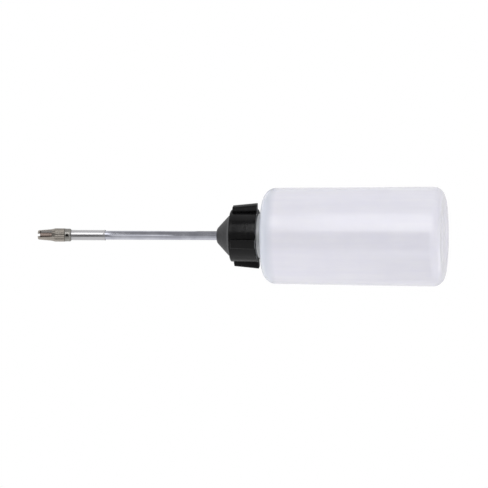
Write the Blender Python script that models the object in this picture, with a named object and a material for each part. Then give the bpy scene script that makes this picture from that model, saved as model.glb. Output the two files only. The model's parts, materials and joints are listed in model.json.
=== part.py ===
"""Sewing machine oiler: a squeeze bottle with a lugged screw collar, a metal spout and a slotted nozzle.

The bottle stands on z = 0 with its axis along +Z. Lengths are in metres, angles in radians.
"""

import math

import bmesh
import bpy
from mathutils import Matrix

# Fits
SEAT_GAP = 0.0003  # between plastic faces that press together
FINE_GAP = 0.0001  # between the small metal pieces
PRESS_GAP = 0.00005  # round a pushed-on or pressed-in piece
RUN_GAP = 0.0002  # round a piece that turns or slides freely

# Bottle
BASE_RADIUS = 0.01815
SHOULDER_RADIUS = 0.01755
BODY_HEIGHT = 0.0619  # up to where the shoulder starts to curve
SHOULDER_FILLET = 0.0047
SHOULDER_SLOPE = math.radians(8)
HEEL_RADIUS = 0.0039
FOOT_WIDTH = 0.0022
PUSH_UP = 0.0008
BOTTLE_WALL = 0.0010

# Neck and its thread
NECK_HEIGHT = 0.0070
NECK_BEAD = 0.0011
NECK_CORE_RADIUS = 0.0074
NECK_BORE_RADIUS = 0.0062
THREAD_PITCH = 0.0030
THREAD_DEPTH = 0.00075
THREAD_PLAY = 0.0003
THREAD_FLANK = math.radians(30)
THREAD_RUN_OUT = 0.1  # turns over which an end of a ridge rises to full depth
THREAD_SINK = 0.00025  # how far a ridge reaches into the wall that it stands on

# Collar
COLLAR_WALL = 0.00115
COLLAR_FLARE = 0.0002
COLLAR_LIP = 0.0016
COLLAR_REAR_GAP = 0.0013
COLLAR_CHAMFER = 0.0003
LUG_COUNT = 4
LUG_WIDTH = math.radians(17)
LUG_TURN = math.radians(-106.5)  # sets one lug beside the front of the bottle
LUG_FRONT_PROUD = 0.0018
LUG_REAR_PROUD = 0.0025
LUG_SETBACK = 0.0010

# Gasket and cone
GASKET_THICKNESS = 0.0008
FLANGE_THICKNESS = 0.0010
CONE_RADIUS = 0.0074
CONE_RIM = 0.0007
CONE_HALF_ANGLE = math.radians(47.5)
CONE_TIP_RADIUS = 0.0029
CONE_BLUNT = 0.0004
CONE_WALL = 0.0015
PLUG_LENGTH = 0.0043
PLUG_WALL = 0.0010

# Spout tube and its ferrule
TUBE_RADIUS = 0.00165
TUBE_BORE_RADIUS = 0.00115
TUBE_REACH = 0.0413  # bare length between the cone and the sleeve
FERRULE_WALL = 0.0012
FERRULE_HEIGHT = 0.0020

# Sleeve with its check valve
SLEEVE_LENGTH = 0.0126
SLEEVE_WALL = 0.00017
SOCKET_DEPTH = 0.0062
WASHER_THICKNESS = 0.0005
WASHER_LAND = 0.0006
SEAT_BORE_RADIUS = 0.0007
SEAT_LAND = 0.0008
SEAT_DEPTH = 0.0005
BALL_RADIUS = 0.0010
CHAMBER_CLEARANCE = 0.00025
SPRING_WIRE_RADIUS = 0.00010
SPRING_TURNS = 4

# Nozzle body and jet
SPIGOT_LENGTH = 0.0013
SPIGOT_BORE_RADIUS = 0.0007
BODY_RADIUS = 0.00238
BODY_LENGTH = 0.0022
BODY_CHAMFER = 0.0004
PIN_HOLE_COUNT = 4
PIN_HOLE_RADIUS = 0.0005
PIN_HOLE_DEPTH = 0.0010
STUB_RADIUS = 0.00145
STUB_LENGTH = 0.0025
JET_RADIUS = 0.00090
JET_BORE_RADIUS = 0.00045
JET_SETBACK = 0.0008

# Nozzle tip
BAND_RADIUS = 0.00250
BAND_LENGTH = 0.0036
FLUTE_COUNT = 12
FLUTE_RADIUS = 0.00045
FLUTE_DEPTH = 0.00015
TIP_SHOULDER_LENGTH = 0.0016
NOSE_ROOT_RADIUS = 0.00210
NOSE_END_RADIUS = 0.00170
NOSE_LENGTH = 0.0048
NOSE_ROUNDING = 0.0003
NOSE_SLOT_COUNT = 2
NOSE_SLOT_TURN = math.radians(-75)  # opens one slot a little beside the front of the bottle
NOSE_SLOT_WIDTH = 0.0024
NOSE_SLOT_LENGTH = 0.0046
NOSE_NOTCH_TURN = math.radians(-90)
NOSE_NOTCH_WIDTH = 0.0009
NOSE_NOTCH_DEPTH = 0.0008
TIP_BORE_CLEARANCE = 0.00015

# Facets
BOTTLE_STEPS = 48
SPOUT_STEPS = 32
FINE_STEPS = 16
WIRE_STEPS = 6
ARC_STEPS = 6
MERGE = 1e-7

# Radii worked out across the fits
neck_crest_radius = NECK_CORE_RADIUS + THREAD_DEPTH
collar_bore_radius = neck_crest_radius + RUN_GAP
collar_radius = collar_bore_radius + COLLAR_WALL
flange_radius = collar_bore_radius - RUN_GAP
plug_radius = NECK_BORE_RADIUS - RUN_GAP
plug_bore_radius = plug_radius - PLUG_WALL
socket_radius = TUBE_RADIUS + PRESS_GAP
sleeve_radius = socket_radius + SLEEVE_WALL
chamber_radius = BALL_RADIUS + CHAMBER_CLEARANCE
jet_socket_radius = JET_RADIUS + PRESS_GAP
tip_bore_radius = JET_RADIUS + TIP_BORE_CLEARANCE

# Heights worked out up the stack
shoulder_arc_top = BODY_HEIGHT + SHOULDER_FILLET * math.cos(SHOULDER_SLOPE)
shoulder_arc_radius = SHOULDER_RADIUS - SHOULDER_FILLET * (1 - math.sin(SHOULDER_SLOPE))
neck_root = shoulder_arc_top + (shoulder_arc_radius - neck_crest_radius) * math.tan(SHOULDER_SLOPE)
mouth = neck_root + NECK_HEIGHT
gasket_seat = mouth + SEAT_GAP
flange_seat = gasket_seat + GASKET_THICKNESS + SEAT_GAP
lip_seat = flange_seat + FLANGE_THICKNESS + SEAT_GAP
collar_front = lip_seat + COLLAR_LIP
collar_rear = neck_root + COLLAR_REAR_GAP
cone_foot = collar_front + CONE_RIM
cone_top = cone_foot + (CONE_RADIUS - CONE_TIP_RADIUS) / math.tan(CONE_HALF_ANGLE) + CONE_BLUNT
sleeve_rear = cone_top + TUBE_REACH
socket_floor = sleeve_rear + SOCKET_DEPTH
tube_end = socket_floor - WASHER_THICKNESS - 2 * FINE_GAP
sleeve_front = sleeve_rear + SLEEVE_LENGTH
body_rear = sleeve_front + FINE_GAP
body_front = body_rear + BODY_LENGTH
jet_foot = (body_rear + body_front) / 2
stub_front = body_front + STUB_LENGTH
tip_rear = body_front + FINE_GAP
tip_floor = stub_front + WASHER_THICKNESS + 2 * FINE_GAP
tip_front = tip_rear + BAND_LENGTH + TIP_SHOULDER_LENGTH + NOSE_LENGTH


def clear_scene():
    for obj in list(bpy.data.objects):
        bpy.data.objects.remove(obj, do_unlink=True)


def linear(hex_colour):
    """An sRGB hex colour as linear RGBA."""
    channels = [int(hex_colour[i : i + 2], 16) / 255 for i in (1, 3, 5)]
    return [c / 12.92 if c <= 0.04045 else ((c + 0.055) / 1.055) ** 2.4 for c in channels] + [1.0]


def material(name, hex_colour, roughness, metallic=0.0):
    made = bpy.data.materials.new(name)
    made.use_nodes = True
    shader = made.node_tree.nodes["Principled BSDF"]
    shader.inputs["Base Color"].default_value = linear(hex_colour)
    shader.inputs["Roughness"].default_value = roughness
    shader.inputs["Metallic"].default_value = metallic
    return made


def body_empty(name, height, parent=None):
    """An empty on the bottle's axis that carries the pieces which move together."""
    empty = bpy.data.objects.new(name, None)
    empty.empty_display_size = BASE_RADIUS
    bpy.context.collection.objects.link(empty)
    empty.parent = parent
    empty.location.z = height - axis_height(parent)
    return empty


def axis_height(obj):
    """World height of an object that stands on the axis, added up through its parents."""
    return 0.0 if obj is None else obj.location.z + axis_height(obj.parent)


def piece(name, bm, look, body):
    """A named object from a mesh modelled at its world height, carried by a body's empty."""
    bmesh.ops.remove_doubles(bm, verts=bm.verts, dist=MERGE)
    bmesh.ops.recalc_face_normals(bm, faces=bm.faces)
    bmesh.ops.translate(bm, verts=bm.verts, vec=(0, 0, -axis_height(body)))
    mesh = bpy.data.meshes.new(name)
    bm.to_mesh(mesh)
    bm.free()
    mesh.shade_smooth()
    mesh.set_sharp_from_angle(angle=math.radians(30))
    if look:
        mesh.materials.append(look)
    obj = bpy.data.objects.new(name, mesh)
    bpy.context.collection.objects.link(obj)
    obj.parent = body
    return obj


def helper(name, bm, body):
    """A shape that only cuts or joins another piece."""
    obj = piece(name, bm, None, body)
    obj.hide_render = True
    obj.display_type = "WIRE"
    return obj


def combine(obj, other, operation):
    modifier = obj.modifiers.new(other.name, "BOOLEAN")
    modifier.operation = operation
    modifier.object = other


def arc(radius, height, size, start, end, steps=ARC_STEPS):
    """Outline points of an arc in the plane of radius and height, angles counted from outwards."""
    angles = [start + (end - start) * step / steps for step in range(steps + 1)]
    return [(radius + size * math.cos(a), height + size * math.sin(a)) for a in angles]


def turned(outline, steps=SPOUT_STEPS):
    """A solid of revolution about Z from a closed outline of (radius, height) points."""
    bm = bmesh.new()
    points = [bm.verts.new((radius, 0, height)) for radius, height in outline]
    pairs = zip(points, points[1:] + points[:1])
    edges = [bm.edges.new(pair) for pair in pairs if pair[0].co.x or pair[1].co.x]
    bmesh.ops.spin(
        bm, geom=points + edges, axis=(0, 0, 1), cent=(0, 0, 0), steps=steps, angle=math.tau, use_merge=True
    )
    return bm


def ring(inner, outer, low, high, steps=SPOUT_STEPS):
    return turned([(inner, low), (outer, low), (outer, high), (inner, high)], steps)


def loft(bm, sections):
    """Joins equal loops of points into a closed solid with flat ends."""
    loops = [[bm.verts.new(point) for point in section] for section in sections]
    for first, second in zip(loops, loops[1:]):
        for i in range(len(first)):
            j = (i + 1) % len(first)
            bm.faces.new((first[i], first[j], second[j], second[i]))
    bm.faces.new(loops[0])
    bm.faces.new(loops[-1])


def polar(radius, angle, height):
    return (radius * math.cos(angle), radius * math.sin(angle), height)


def thread(root, crest, datum, first_turn, turns):
    """A helical ridge from the root radius to the crest radius, sunk a little into its wall.

    The middle of the ridge is at the datum height at turn 0 and climbs one pitch in each turn.
    """
    outward = math.copysign(1, crest - root)
    flank = math.tan(THREAD_FLANK)
    wide = ridge_half_width()
    sunk = root - outward * THREAD_SINK
    steps = round(turns * BOTTLE_STEPS)
    sections = []
    for step in range(steps + 1):
        along = turns * step / steps
        from_end = min(step + 1, steps + 1 - step) * turns / steps
        depth = THREAD_DEPTH * min(1, from_end / THREAD_RUN_OUT)
        height = datum + THREAD_PITCH * (first_turn + along)
        angle = math.tau * (first_turn + along)
        top = root + outward * depth
        narrow = wide - flank * depth
        sections.append(
            [
                polar(sunk, angle, height - wide),
                polar(root, angle, height - wide),
                polar(top, angle, height - narrow),
                polar(top, angle, height + narrow),
                polar(root, angle, height + wide),
                polar(sunk, angle, height + wide),
            ]
        )
    bm = bmesh.new()
    loft(bm, sections)
    return bm


def ridge_half_width():
    """Half the width of a thread's ridge at its root, with play between the two threads half way up."""
    return (THREAD_PITCH / 2 - THREAD_PLAY + math.tan(THREAD_FLANK) * THREAD_DEPTH) / 2


def whole_steps(turns):
    """The turns that end on a facet's corner, at or just under those asked for."""
    return math.floor(turns * BOTTLE_STEPS) / BOTTLE_STEPS


def neck_thread_start():
    return neck_root + NECK_BEAD + THREAD_DEPTH + ridge_half_width()


def bottle_shell(body, look):
    """Blow-moulded bottle: one wall all round, a pushed-up base and a threaded neck."""
    foot_outer = BASE_RADIUS - HEEL_RADIUS
    foot_inner = foot_outer - FOOT_WIDTH
    recess = foot_inner - PUSH_UP
    inner_heel = HEEL_RADIUS - BOTTLE_WALL
    shoulder_centre = SHOULDER_RADIUS - SHOULDER_FILLET
    slope_end = math.pi / 2 - SHOULDER_SLOPE
    inner_shoulder = arc(shoulder_centre, BODY_HEIGHT, SHOULDER_FILLET - BOTTLE_WALL, 0, slope_end)
    bore_foot = inner_shoulder[-1][1] + (inner_shoulder[-1][0] - NECK_BORE_RADIUS) * math.tan(SHOULDER_SLOPE)
    outside = [(0, PUSH_UP), (recess, PUSH_UP), (foot_inner, 0)]
    outside += arc(foot_outer, HEEL_RADIUS, HEEL_RADIUS, -math.pi / 2, 0)
    outside += arc(shoulder_centre, BODY_HEIGHT, SHOULDER_FILLET, 0, slope_end)
    outside += [
        (neck_crest_radius, neck_root),
        (neck_crest_radius, neck_root + NECK_BEAD),
        (NECK_CORE_RADIUS, neck_root + NECK_BEAD + THREAD_DEPTH),
        (NECK_CORE_RADIUS, mouth),
    ]
    inside = [(NECK_BORE_RADIUS, mouth), (NECK_BORE_RADIUS, bore_foot)]
    inside += inner_shoulder[::-1]
    inside += arc(foot_outer, HEEL_RADIUS, inner_heel, 0, -math.pi / 2)
    inside += [(foot_inner, BOTTLE_WALL), (recess, PUSH_UP + BOTTLE_WALL), (0, PUSH_UP + BOTTLE_WALL)]
    shell = piece("bottle_shell", turned(outside + inside, BOTTLE_STEPS), look, body)
    low = neck_thread_start()
    turns = whole_steps((mouth - ridge_half_width() - THREAD_PLAY - low) / THREAD_PITCH)
    ridge = thread(NECK_CORE_RADIUS, neck_crest_radius, low, 0, turns)
    combine(shell, helper("neck_thread", ridge, body), "UNION")


def mouth_gasket(body, look):
    """Soft ring that the cone's flange presses on the mouth."""
    inner = plug_radius + PRESS_GAP
    bm = ring(inner, NECK_CORE_RADIUS, gasket_seat, gasket_seat + GASKET_THICKNESS, BOTTLE_STEPS)
    piece("mouth_gasket", bm, look, body)


def cone_roof():
    """Radius and height where the cone's inner slope ends in a flat roof round the tube."""
    radius = TUBE_RADIUS + FERRULE_WALL + SEAT_GAP
    inner_radius = CONE_RADIUS - CONE_WALL / math.cos(CONE_HALF_ANGLE)
    return radius, cone_foot + (inner_radius - radius) / math.tan(CONE_HALF_ANGLE)


def spout_cone(body, look):
    """Moulded cone with the flange that the collar clamps and a plug that fits in the neck."""
    roof_radius, roof = cone_roof()
    slope_foot = roof - (plug_bore_radius - roof_radius) / math.tan(CONE_HALF_ANGLE)
    bore = TUBE_RADIUS + PRESS_GAP
    outline = [
        (plug_bore_radius, flange_seat - PLUG_LENGTH),
        (plug_radius, flange_seat - PLUG_LENGTH),
        (plug_radius, flange_seat),
        (flange_radius, flange_seat),
        (flange_radius, flange_seat + FLANGE_THICKNESS),
        (CONE_RADIUS, flange_seat + FLANGE_THICKNESS),
        (CONE_RADIUS, cone_foot),
        (CONE_TIP_RADIUS, cone_top - CONE_BLUNT),
        (CONE_TIP_RADIUS - CONE_BLUNT, cone_top),
        (bore, cone_top),
        (bore, roof),
        (roof_radius, roof),
        (plug_bore_radius, slope_foot),
    ]
    piece("spout_cone", turned(outline, BOTTLE_STEPS), look, body)


def lugs():
    """Wedge-shaped grips round the collar, wider out at the rear."""
    front = collar_front - LUG_SETBACK
    root = collar_bore_radius + COLLAR_WALL / 2
    bm = bmesh.new()
    for lug in range(LUG_COUNT):
        middle = LUG_TURN + math.tau * lug / LUG_COUNT
        sections = []
        for step in range(ARC_STEPS + 1):
            angle = middle + LUG_WIDTH * (step / ARC_STEPS - 0.5)
            sections.append(
                [
                    polar(root, angle, collar_rear),
                    polar(collar_radius + COLLAR_FLARE + LUG_REAR_PROUD, angle, collar_rear),
                    polar(collar_radius + LUG_FRONT_PROUD, angle, front),
                    polar(root, angle, front),
                ]
            )
        loft(bm, sections)
    return bm


def screw_collar(body, look):
    """Collar whose front lip draws the cone's flange down on the mouth as it is screwed on."""
    outline = [
        (collar_bore_radius, collar_rear),
        (collar_radius + COLLAR_FLARE, collar_rear),
        (collar_radius, collar_front - COLLAR_CHAMFER),
        (collar_radius - COLLAR_CHAMFER, collar_front),
        (CONE_RADIUS + RUN_GAP, collar_front),
        (CONE_RADIUS + RUN_GAP, lip_seat),
        (collar_bore_radius, lip_seat),
    ]
    collar = piece("screw_collar", turned(outline, BOTTLE_STEPS), look, body)
    combine(collar, helper("collar_lugs", lugs(), body), "UNION")
    datum = neck_thread_start() + THREAD_PITCH / 2
    low = collar_rear + ridge_half_width() + THREAD_PLAY
    first_turn = -whole_steps((datum - low) / THREAD_PITCH)
    turns = whole_steps((mouth - ridge_half_width() - low) / THREAD_PITCH)
    ridge = thread(collar_bore_radius, collar_bore_radius - THREAD_DEPTH, datum, first_turn, turns)
    combine(collar, helper("collar_thread", ridge, body), "UNION")


def tube_foot():
    return cone_roof()[1] - FERRULE_HEIGHT - 2 * SEAT_GAP


def tube_ferrule(body, look):
    """Bush crimped on the tube under the cone, so that the tube can't be pulled out."""
    top = cone_roof()[1] - SEAT_GAP
    inner = TUBE_RADIUS + PRESS_GAP
    piece("tube_ferrule", ring(inner, TUBE_RADIUS + FERRULE_WALL, top - FERRULE_HEIGHT, top), look, body)


def spout_tube(body, look):
    """Drawn tube from under the cone to the bottom of the sleeve's socket."""
    piece("spout_tube", ring(TUBE_BORE_RADIUS, TUBE_RADIUS, tube_foot(), tube_end), look, body)


def seat_foot():
    return socket_floor + SEAT_LAND


def tip_sleeve(body, look):
    """Sleeve with a socket for the tube behind and the check ball's chamber in front."""
    seat_rim = seat_foot() + SEAT_DEPTH
    outline = [
        (socket_radius, sleeve_rear),
        (sleeve_radius, sleeve_rear),
        (sleeve_radius, sleeve_front),
        (chamber_radius, sleeve_front),
        (chamber_radius, seat_rim),
        (SEAT_BORE_RADIUS, seat_foot()),
        (SEAT_BORE_RADIUS, socket_floor),
        (socket_radius, socket_floor),
    ]
    piece("tip_sleeve", turned(outline), look, body)


def sleeve_washer(body, look):
    """Seal between the tube's end and the floor of the sleeve's socket."""
    low = tube_end + FINE_GAP
    piece("sleeve_washer", ring(TUBE_RADIUS - WASHER_LAND, TUBE_RADIUS, low, low + WASHER_THICKNESS), look, body)


def ball_centre():
    """Height of the ball's centre on its conical seat, with the gap between them."""
    half_angle = math.atan((chamber_radius - SEAT_BORE_RADIUS) / SEAT_DEPTH)
    apex = seat_foot() - SEAT_BORE_RADIUS / math.tan(half_angle)
    return apex + (BALL_RADIUS + FINE_GAP) / math.sin(half_angle)


def check_ball(body, look):
    bm = bmesh.new()
    bmesh.ops.create_icosphere(bm, subdivisions=2, radius=BALL_RADIUS)
    bmesh.ops.translate(bm, verts=bm.verts, vec=(0, 0, ball_centre()))
    piece("check_ball", bm, look, body)


def check_spring(body, look):
    """Coil spring between the ball and the spigot of the nozzle body."""
    coil_radius = BALL_RADIUS - SPRING_WIRE_RADIUS
    ball_touch = math.sqrt(BALL_RADIUS**2 - (coil_radius - SPRING_WIRE_RADIUS) ** 2)
    low = ball_centre() + ball_touch + FINE_GAP + SPRING_WIRE_RADIUS
    high = sleeve_front - SPIGOT_LENGTH - FINE_GAP - SPRING_WIRE_RADIUS
    count = SPRING_TURNS * FINE_STEPS
    sections = []
    for step in range(count + 1):
        height = low + (high - low) * step / count
        wire = arc(coil_radius, height, SPRING_WIRE_RADIUS, 0, math.tau, WIRE_STEPS)[:-1]
        sections.append([polar(radius, math.tau * step / FINE_STEPS, z) for radius, z in wire])
    bm = bmesh.new()
    loft(bm, sections)
    piece("check_spring", bm, look, body)


def rods(count, radius, length, matrix_of):
    """Equal cylinders, each placed by the matrix that matrix_of gives for its angle."""
    bm = bmesh.new()
    for number in range(count):
        bmesh.ops.create_cone(
            bm,
            cap_ends=True,
            segments=FINE_STEPS,
            radius1=radius,
            radius2=radius,
            depth=length,
            matrix=matrix_of(math.tau * number / count),
        )
    return bm


def nozzle_body(body, look):
    """Collar with holes for a tommy pin, a spigot into the sleeve and a stub for the nozzle tip."""
    spigot_radius = chamber_radius - PRESS_GAP
    outline = [
        (SPIGOT_BORE_RADIUS, body_rear - FINE_GAP - SPIGOT_LENGTH),
        (spigot_radius, body_rear - FINE_GAP - SPIGOT_LENGTH),
        (spigot_radius, body_rear),
        (BODY_RADIUS - BODY_CHAMFER, body_rear),
        (BODY_RADIUS, body_rear + BODY_CHAMFER),
        (BODY_RADIUS, body_front),
        (STUB_RADIUS, body_front),
        (STUB_RADIUS, stub_front),
        (jet_socket_radius, stub_front),
        (jet_socket_radius, jet_foot - FINE_GAP),
        (SPIGOT_BORE_RADIUS, jet_foot - FINE_GAP),
    ]
    holder = piece("nozzle_body", turned(outline), look, body)
    middle = (body_rear + BODY_CHAMFER + body_front) / 2

    def radial(angle):
        outwards = Matrix.Rotation(angle, 4, "Z") @ Matrix.Translation((BODY_RADIUS, 0, middle))
        return outwards @ Matrix.Rotation(math.pi / 2, 4, "Y")

    holes = rods(PIN_HOLE_COUNT, PIN_HOLE_RADIUS, 2 * PIN_HOLE_DEPTH, radial)
    combine(holder, helper("pin_holes", holes, body), "DIFFERENCE")


def jet_tube(body, look):
    """Fine tube from the nozzle body through the middle of the slotted nose."""
    jet_end = tip_front - JET_SETBACK
    piece("jet_tube", ring(JET_BORE_RADIUS, JET_RADIUS, jet_foot, jet_end, FINE_STEPS), look, body)


def tip_washer(body, look):
    """Seal between the nozzle body's stub and the floor of the nozzle tip."""
    low = stub_front + FINE_GAP
    piece("tip_washer", ring(tip_bore_radius, STUB_RADIUS, low, low + WASHER_THICKNESS), look, body)


def side_cuts(turn, width, low, high):
    """Boxes that open the nose's bore to its sides between two heights, the first at the given angle."""
    bm = bmesh.new()
    size = Matrix.Diagonal((2 * BAND_RADIUS - tip_bore_radius, width, high - low, 1))
    for number in range(NOSE_SLOT_COUNT):
        facing = Matrix.Rotation(turn + math.tau * number / NOSE_SLOT_COUNT, 4, "Z")
        outwards = facing @ Matrix.Translation((BAND_RADIUS, 0, (low + high) / 2))
        bmesh.ops.create_cube(bm, size=1, matrix=outwards @ size)
    return bm


def nozzle_tip(body, look):
    """Turned nose with a fluted grip band, screwed on the stub, with a slot in each side and a notched end."""
    band_front = tip_rear + BAND_LENGTH
    nose_root = band_front + TIP_SHOULDER_LENGTH
    counterbore = STUB_RADIUS + FINE_GAP
    outline = [
        (counterbore, tip_rear),
        (BAND_RADIUS, tip_rear),
        (BAND_RADIUS, band_front),
        (NOSE_ROOT_RADIUS, nose_root),
        (NOSE_END_RADIUS, tip_front - NOSE_ROUNDING),
        (NOSE_END_RADIUS - NOSE_ROUNDING, tip_front),
        (tip_bore_radius, tip_front),
        (tip_bore_radius, tip_floor),
        (counterbore, tip_floor),
    ]
    tip = piece("nozzle_tip", turned(outline), look, body)
    flute_centre = BAND_RADIUS + FLUTE_RADIUS - FLUTE_DEPTH

    def along_band(angle):
        return Matrix.Rotation(angle, 4, "Z") @ Matrix.Translation((flute_centre, 0, tip_rear))

    flutes = rods(FLUTE_COUNT, FLUTE_RADIUS, 2 * BAND_LENGTH, along_band)
    combine(tip, helper("band_flutes", flutes, body), "DIFFERENCE")
    slot_front = tip_front - NOSE_NOTCH_DEPTH
    slots = side_cuts(NOSE_SLOT_TURN, NOSE_SLOT_WIDTH, slot_front - NOSE_SLOT_LENGTH, slot_front)
    combine(tip, helper("nose_slots", slots, body), "DIFFERENCE")
    notch_low = slot_front - NOSE_ROUNDING
    notches = side_cuts(NOSE_NOTCH_TURN, NOSE_NOTCH_WIDTH, notch_low, tip_front + NOSE_ROUNDING)
    combine(tip, helper("nose_notches", notches, body), "DIFFERENCE")


def build():
    clear_scene()
    bottle = body_empty("bottle", 0.0)
    spout = body_empty("spout", mouth, bottle)
    collar = body_empty("collar", collar_rear, spout)
    valve = body_empty("valve", sleeve_rear, spout)
    ball = body_empty("ball", ball_centre(), valve)
    tip_seal = body_empty("tip_seal", stub_front, valve)
    tip = body_empty("tip", tip_rear, tip_seal)

    bottle_shell(bottle, material("milky_polyethylene", "#E1E0E9", 0.45))
    mouth_gasket(spout, material("gasket_foam", "#E8E6E0", 0.8))
    spout_cone(spout, material("dark_grey_polypropylene", "#505052", 0.6))
    screw_collar(collar, material("black_polypropylene", "#2A2A2B", 0.45))
    tube_ferrule(spout, material("ferrule_brass", "#B39A58", 0.35, 1.0))
    spout_tube(spout, material("drawn_steel", "#A8A8A6", 0.35, 1.0))
    tip_sleeve(valve, material("polished_steel", "#D0D0CE", 0.12, 1.0))
    sleeve_washer(valve, material("sleeve_washer_rubber", "#1C1C1C", 0.8))
    check_ball(ball, material("ball_steel", "#D0D0CE", 0.1, 1.0))
    check_spring(valve, material("spring_steel", "#9C9C9A", 0.35, 1.0))
    nozzle_body(valve, material("turned_steel", "#C4C2BE", 0.2, 1.0))
    jet_tube(valve, material("jet_brass", "#B39A58", 0.35, 1.0))
    tip_washer(tip_seal, material("tip_washer_rubber", "#1C1C1C", 0.8))
    nozzle_tip(tip, material("nickel_plate", "#ADA59D", 0.3, 1.0))


build()
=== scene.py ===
import json
import math

import bmesh
import bpy
from mathutils import Matrix, Vector


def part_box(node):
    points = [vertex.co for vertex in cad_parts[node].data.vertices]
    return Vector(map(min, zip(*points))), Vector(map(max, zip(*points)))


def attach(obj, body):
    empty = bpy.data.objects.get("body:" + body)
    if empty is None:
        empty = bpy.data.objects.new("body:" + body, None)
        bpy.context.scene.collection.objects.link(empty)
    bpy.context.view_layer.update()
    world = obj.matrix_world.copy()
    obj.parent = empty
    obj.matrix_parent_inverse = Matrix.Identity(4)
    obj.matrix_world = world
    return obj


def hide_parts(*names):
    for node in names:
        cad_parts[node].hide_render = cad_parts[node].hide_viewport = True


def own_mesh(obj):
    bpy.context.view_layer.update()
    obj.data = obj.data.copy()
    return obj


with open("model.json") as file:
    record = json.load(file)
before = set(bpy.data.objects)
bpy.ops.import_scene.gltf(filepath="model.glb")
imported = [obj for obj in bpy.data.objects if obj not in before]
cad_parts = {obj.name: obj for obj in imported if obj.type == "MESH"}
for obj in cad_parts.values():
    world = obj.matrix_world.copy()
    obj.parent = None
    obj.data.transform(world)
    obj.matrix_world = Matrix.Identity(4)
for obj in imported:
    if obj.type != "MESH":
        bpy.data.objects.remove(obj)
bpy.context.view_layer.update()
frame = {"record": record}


# Bottle
# Squeeze bottle of milky low-density polyethylene, blow-moulded in one piece with its threaded neck.
# The two mould halves leave a fine line up both sides and a pinched seam across the pushed-up base.

MM = 0.001  # all sizes below are in millimetres and are turned to metres by this

BASE_RADIUS = 18.15
SHOULDER_RADIUS = 17.55
BODY_HEIGHT = 61.9
SHOULDER_FILLET = 4.7
SHOULDER_SLOPE = math.radians(8)
HEEL_RADIUS = 3.9
FOOT_WIDTH = 2.2
PUSH_UP = 0.8
DISH_WIDTH = 5.0  # over which the base rises from the foot ring
BOTTLE_WALL = 1.0
NECK_HEIGHT = 7.0
NECK_BEAD = 1.1
NECK_CORE_RADIUS = 7.4
NECK_BORE_RADIUS = 6.2
THREAD_PITCH = 3.0
THREAD_DEPTH = 0.75
THREAD_PLAY = 0.3
THREAD_FLANK = math.radians(30)
THREAD_RUN_OUT = 0.1  # turns
LIP_HEIGHT = 0.3  # of the plain part of the neck above its thread
PARTING_LINE_RISE = 0.06
PARTING_LINE_HALF_WIDTH = 0.25
PINCH_RISE = 0.12
PINCH_HALF_WIDTH = 0.9
PINCH_REACH = 9.6
WALL_SWAY = 0.035  # how far the thin wall wanders in and out
SWAY_WAVES = ((2, 9.0), (3, -14.0))  # waves round the bottle, and the height on which each leans

FINE_TURN = 192  # steps round the larger pieces
BASE_STEPS = 48  # steps along an outline
WALL_STEPS = 60
NECK_STEPS = 64
UNLINED_STEPS = 4  # steps of the heel, next to the foot ring, that carry no mould line
LINE_STEPS = 4  # steps across half a mould line
FLAT_KEEPER = 0.02  # how far outside a rounding its extra point lies
SHARP_EDGE = math.radians(35)  # faces that meet at more than this are shaded apart


def heights(node):
    """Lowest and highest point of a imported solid, in millimetres."""
    low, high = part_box(node)
    return low.z / MM, high.z / MM


def smooth(share):
    """An S-curve from 0 to 1."""
    share = min(1.0, max(0.0, share))
    return share * share * (3 - 2 * share)


def arc(radius, height, size, start, end, steps=16):
    """Outline points on an arc, its angles counted from outwards."""
    angles = [start + (end - start) * step / steps for step in range(steps + 1)]
    return [(radius + size * math.cos(a), height + size * math.sin(a)) for a in angles]


def straight(first, last, steps):
    """Outline points evenly along a line, without its last one."""
    return [tuple(Vector(first).lerp(Vector(last), step / steps)) for step in range(steps)]


def softened(corners, steps=5):
    """Outline through (radius, height, cut) corners, each rounded off from that far before it.

    A point just outside each rounding keeps the shading of the flats beside it flat.
    """
    points = []
    for number, (radius, height, cut) in enumerate(corners):
        corner = Vector((radius, height))
        if not cut:
            points.append((radius, height))
            continue
        before = (Vector(corners[number - 1][:2]) - corner).normalized()
        after = (Vector(corners[(number + 1) % len(corners)][:2]) - corner).normalized()
        start = corner + before * cut
        end = corner + after * cut
        points.append(tuple(start + before * FLAT_KEEPER))
        for step in range(steps + 1):
            share = step / steps
            points.append(tuple(start.lerp(corner, share).lerp(corner.lerp(end, share), share)))
        points.append(tuple(end + after * FLAT_KEEPER))
    return points


def turn_angles(steps):
    """Even steps round the axis."""
    return [math.tau * step / steps for step in range(steps)]


def finer_turn(extra):
    """The even steps round a larger piece and some extra ones, in order."""
    return sorted(set(round(a % math.tau, 6) for a in turn_angles(FINE_TURN) + extra))


def new_piece(name, bm):
    """An object with smooth round faces and sharp edges from a finished mesh."""
    bmesh.ops.remove_doubles(bm, verts=bm.verts, dist=1e-7)
    bmesh.ops.recalc_face_normals(bm, faces=bm.faces)
    mesh = bpy.data.meshes.new(name)
    bm.to_mesh(mesh)
    bm.free()
    mesh.shade_smooth()
    mesh.set_sharp_from_angle(angle=SHARP_EDGE)
    piece = bpy.data.objects.new(name, mesh)
    bpy.context.collection.objects.link(piece)
    return piece


def placed(bm, outline, angle):
    """New mesh points of a (radius, height) outline that stands at an angle round the axis."""
    across = Vector((math.cos(angle), math.sin(angle), 0)) * MM
    return [bm.verts.new(across * radius + Vector((0, 0, z * MM))) for radius, z in outline]


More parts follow.
